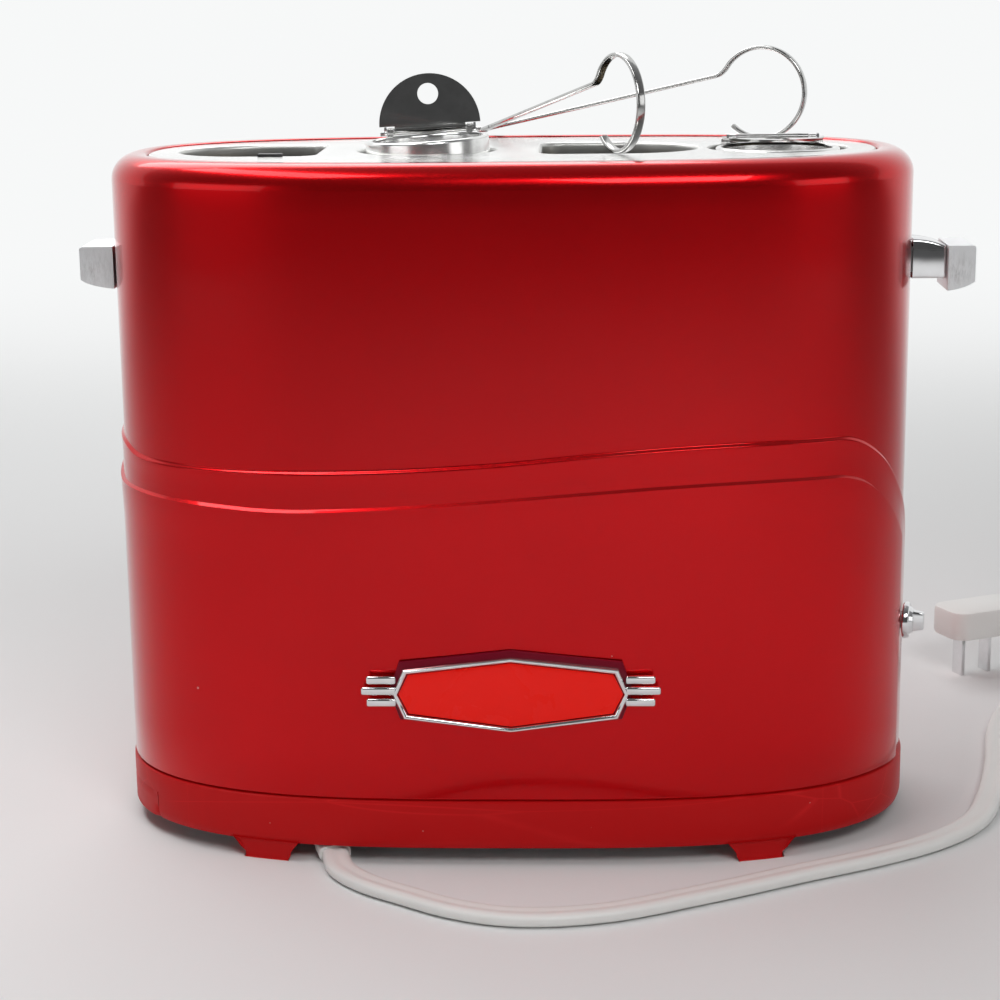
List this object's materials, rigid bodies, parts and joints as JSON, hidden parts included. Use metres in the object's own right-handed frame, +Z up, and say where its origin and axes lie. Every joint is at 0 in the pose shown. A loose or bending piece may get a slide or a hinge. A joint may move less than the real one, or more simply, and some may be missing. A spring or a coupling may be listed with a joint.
{
  "type": "hot dog toaster",
  "caption": "Upright toaster with bun openings, lift-out frankfurter cages, side lever with carriage, timer dial, crumb tray, tongs and a short flat cord.",
  "frame": {"origin": "on the floor under the middle of the toaster's own footprint, with handles and tongs and without the cord", "axes": "+X to the lever and dial end, +Y to the back, +Z up"},
  "size_m": [0.4648, 0.3102, 0.2553],
  "materials": {
    "red_shell": "metallic red lacquer, glossy",
    "red_plastic": "moulded, satin",
    "bright_steel": "polished",
    "chrome": "bright plated",
    "worn_chrome": "plated, scuffed on the end",
    "steel": "plain sheet",
    "tong_steel": "polished strip",
    "dark_plastic": "matte",
    "white_plastic": "soft satin",
    "enamel": "glossy, bare",
    "maroon": "glossy",
    "mica": "matte board",
    "circuit_board": "matte"
  },
  "bodies": {
    "housing": {"outer_shell": "red_shell", "top_plate": "bright_steel", "base_skirt": "red_plastic", "bottom_plate": "steel", "chassis_front": "steel", "chassis_rear": "steel", "chassis_deck": "steel", "chassis_left_end": "steel", "chassis_right_end": "steel", "element_left_end": "mica", "element_left": "mica", "element_middle": "mica", "element_right": "mica", "element_right_end": "mica", "base_screw_front_left": "steel", "base_screw_front_right": "steel", "base_screw_rear_left": "steel", "base_screw_rear_right": "steel", "left_handle": "worn_chrome", "guide_rod_front": "steel", "guide_rod_rear": "steel", "lift_spring": "steel", "latch_magnet": "dark_plastic", "control_board": "circuit_board", "timer_pot": "dark_plastic", "badge_backing": "maroon", "badge_frame": "chrome", "badge_enamel": "enamel", "cord_gland": "white_plastic", "power_cord": "white_plastic", "plug_body": "white_plastic", "plug_blade_left": "steel", "plug_blade_right": "steel"},
    "lever": {"carriage": "steel", "bun_rack": "steel", "lever_arm": "chrome", "lever_cap": "worn_chrome"},
    "dial": {"timer_dial": "chrome", "dial_shaft": "steel"},
    "cage_one": {"cage_1": "bright_steel", "flap_pin_1": "steel"},
    "flap_one": {"flap_1": "bright_steel"},
    "cage_two": {"cage_2": "bright_steel", "flap_pin_2": "steel"},
    "flap_two": {"flap_2": "bright_steel"},
    "tray": {"crumb_tray": "red_plastic"},
    "tongs": {"tong_arm_far": "tong_steel"},
    "near_arm": {"tong_arm_near": "tong_steel"}
  },
  "joints": [
    {"name": "lever_slide", "type": "slide", "parent": "housing", "child": "lever", "axis": [0, 0, 1], "range_m": [-0.065, 0], "stiffness_N_per_m": 50, "springref_m": 0.09, "deforming": ["lift_spring"]},
    {"name": "timer_turn", "type": "hinge", "parent": "housing", "child": "dial", "pos_m": [0.1254, -0.01907, 0.0685], "axis": [-0.9666, 0.2563, 0], "range_deg": [0, 270]},
    {"name": "cage_1_lift", "type": "slide", "parent": "housing", "child": "cage_one", "axis": [-0.0523, 0, 0.9986], "range_m": [0, 0.15]},
    {"name": "flap_1_fold", "type": "hinge", "parent": "cage_one", "child": "flap_one", "pos_m": [-0.03208, 0.01727, 0.2297], "axis": [0.9986, 0, 0.0523], "range_deg": [0, 90]},
    {"name": "cage_2_lift", "type": "slide", "parent": "housing", "child": "cage_two", "axis": [0, 0, 1], "range_m": [0, 0.15]},
    {"name": "flap_2_fold", "type": "hinge", "parent": "cage_two", "child": "flap_two", "pos_m": [0.0825, 0.01727, 0.2259], "axis": [-1, 0, 0], "range_deg": [0, 90]},
    {"name": "tray_slide", "type": "slide", "parent": "housing", "child": "tray", "axis": [-1, 0, 0], "range_m": [0, 0.15]},
    {"name": "tongs_lift", "type": "slide", "parent": "housing", "child": "tongs", "axis": [0, 0, 1], "range_m": [0, 0.12]},
    {"name": "tongs_pinch", "type": "hinge", "parent": "tongs", "child": "near_arm", "pos_m": [-0.0165, 0.06827, 0.2255], "axis": [0, 0, 1], "range_deg": [0, 16], "stiffness_Nm_per_rad": 0.3}
  ]
}
